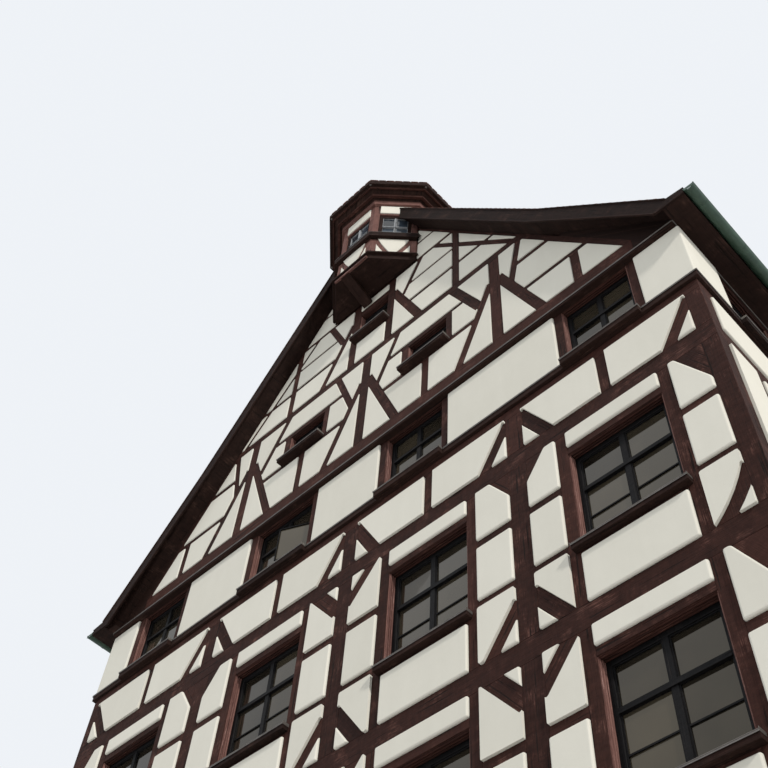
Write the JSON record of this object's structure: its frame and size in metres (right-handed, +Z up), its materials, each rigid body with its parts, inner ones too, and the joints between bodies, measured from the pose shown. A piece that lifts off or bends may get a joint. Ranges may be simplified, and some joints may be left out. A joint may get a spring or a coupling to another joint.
{
  "type": "half timbered house",
  "caption": "Tall gabled half timbered town house: stone ground storey, braced timber storeys with plaster fields, steep tiled roof with flared eaves and a small turret on the gable.",
  "frame": {"origin": "middle of the plan at ground level, on the underside of the ground floor", "axes": "+Z up, the gable front with the door faces -Y, +X to the right along the front"},
  "size_m": [12.0806, 15.175, 23.6612],
  "materials": {
    "stone": "sawn red sandstone",
    "timber": "dark red brown painted oak",
    "plaster": "lime plaster, warm white",
    "sash": "dark brown paint",
    "glass": "window glass",
    "sill_board": "dark brown boards with a flashed edge",
    "roof_tile": "plain clay tiles",
    "eaves_board": "dark brown boards",
    "copper": "green copper",
    "floor": "boarded floor",
    "door": "oak door",
    "turret_timber": "red brown painted oak"
  },
  "bodies": {
    "root": {"attic_floor_1": "floor", "attic_floor_2": "floor", "attic_floor_3": "floor", "back_frame": "timber", "back_gable_frame": "timber", "back_gable_infill": "plaster", "back_ground_wall": "stone", "back_infill": "plaster", "back_windows": "sash", "entrance_door": "door", "floor_1": "floor", "floor_2": "floor", "floor_3": "floor", "front_frame": "timber", "front_gable_frame": "timber", "front_gable_infill": "plaster", "front_ground_wall": "stone", "front_infill": "plaster", "front_windows": "sash", "ground_floor": "stone", "gutters": "copper", "left_eaves": "eaves_board", "left_frame": "timber", "left_ground_wall": "stone", "left_infill": "plaster", "left_roof": "roof_tile", "left_windows": "sash", "ridge_tiles": "roof_tile", "right_eaves": "eaves_board", "right_frame": "timber", "right_ground_wall": "stone", "right_infill": "plaster", "right_roof": "roof_tile", "right_windows": "sash", "storey_ledges": "sill_board", "turret_floor": "eaves_board", "turret_frame": "turret_timber", "turret_infill": "plaster", "turret_ledges": "sill_board", "turret_panes": "glass", "turret_roof": "roof_tile", "turret_strut": "timber", "turret_windows": "sash", "verge_boards": "eaves_board", "window_panes": "glass", "window_sills": "sill_board"}
  },
  "joints": []
}
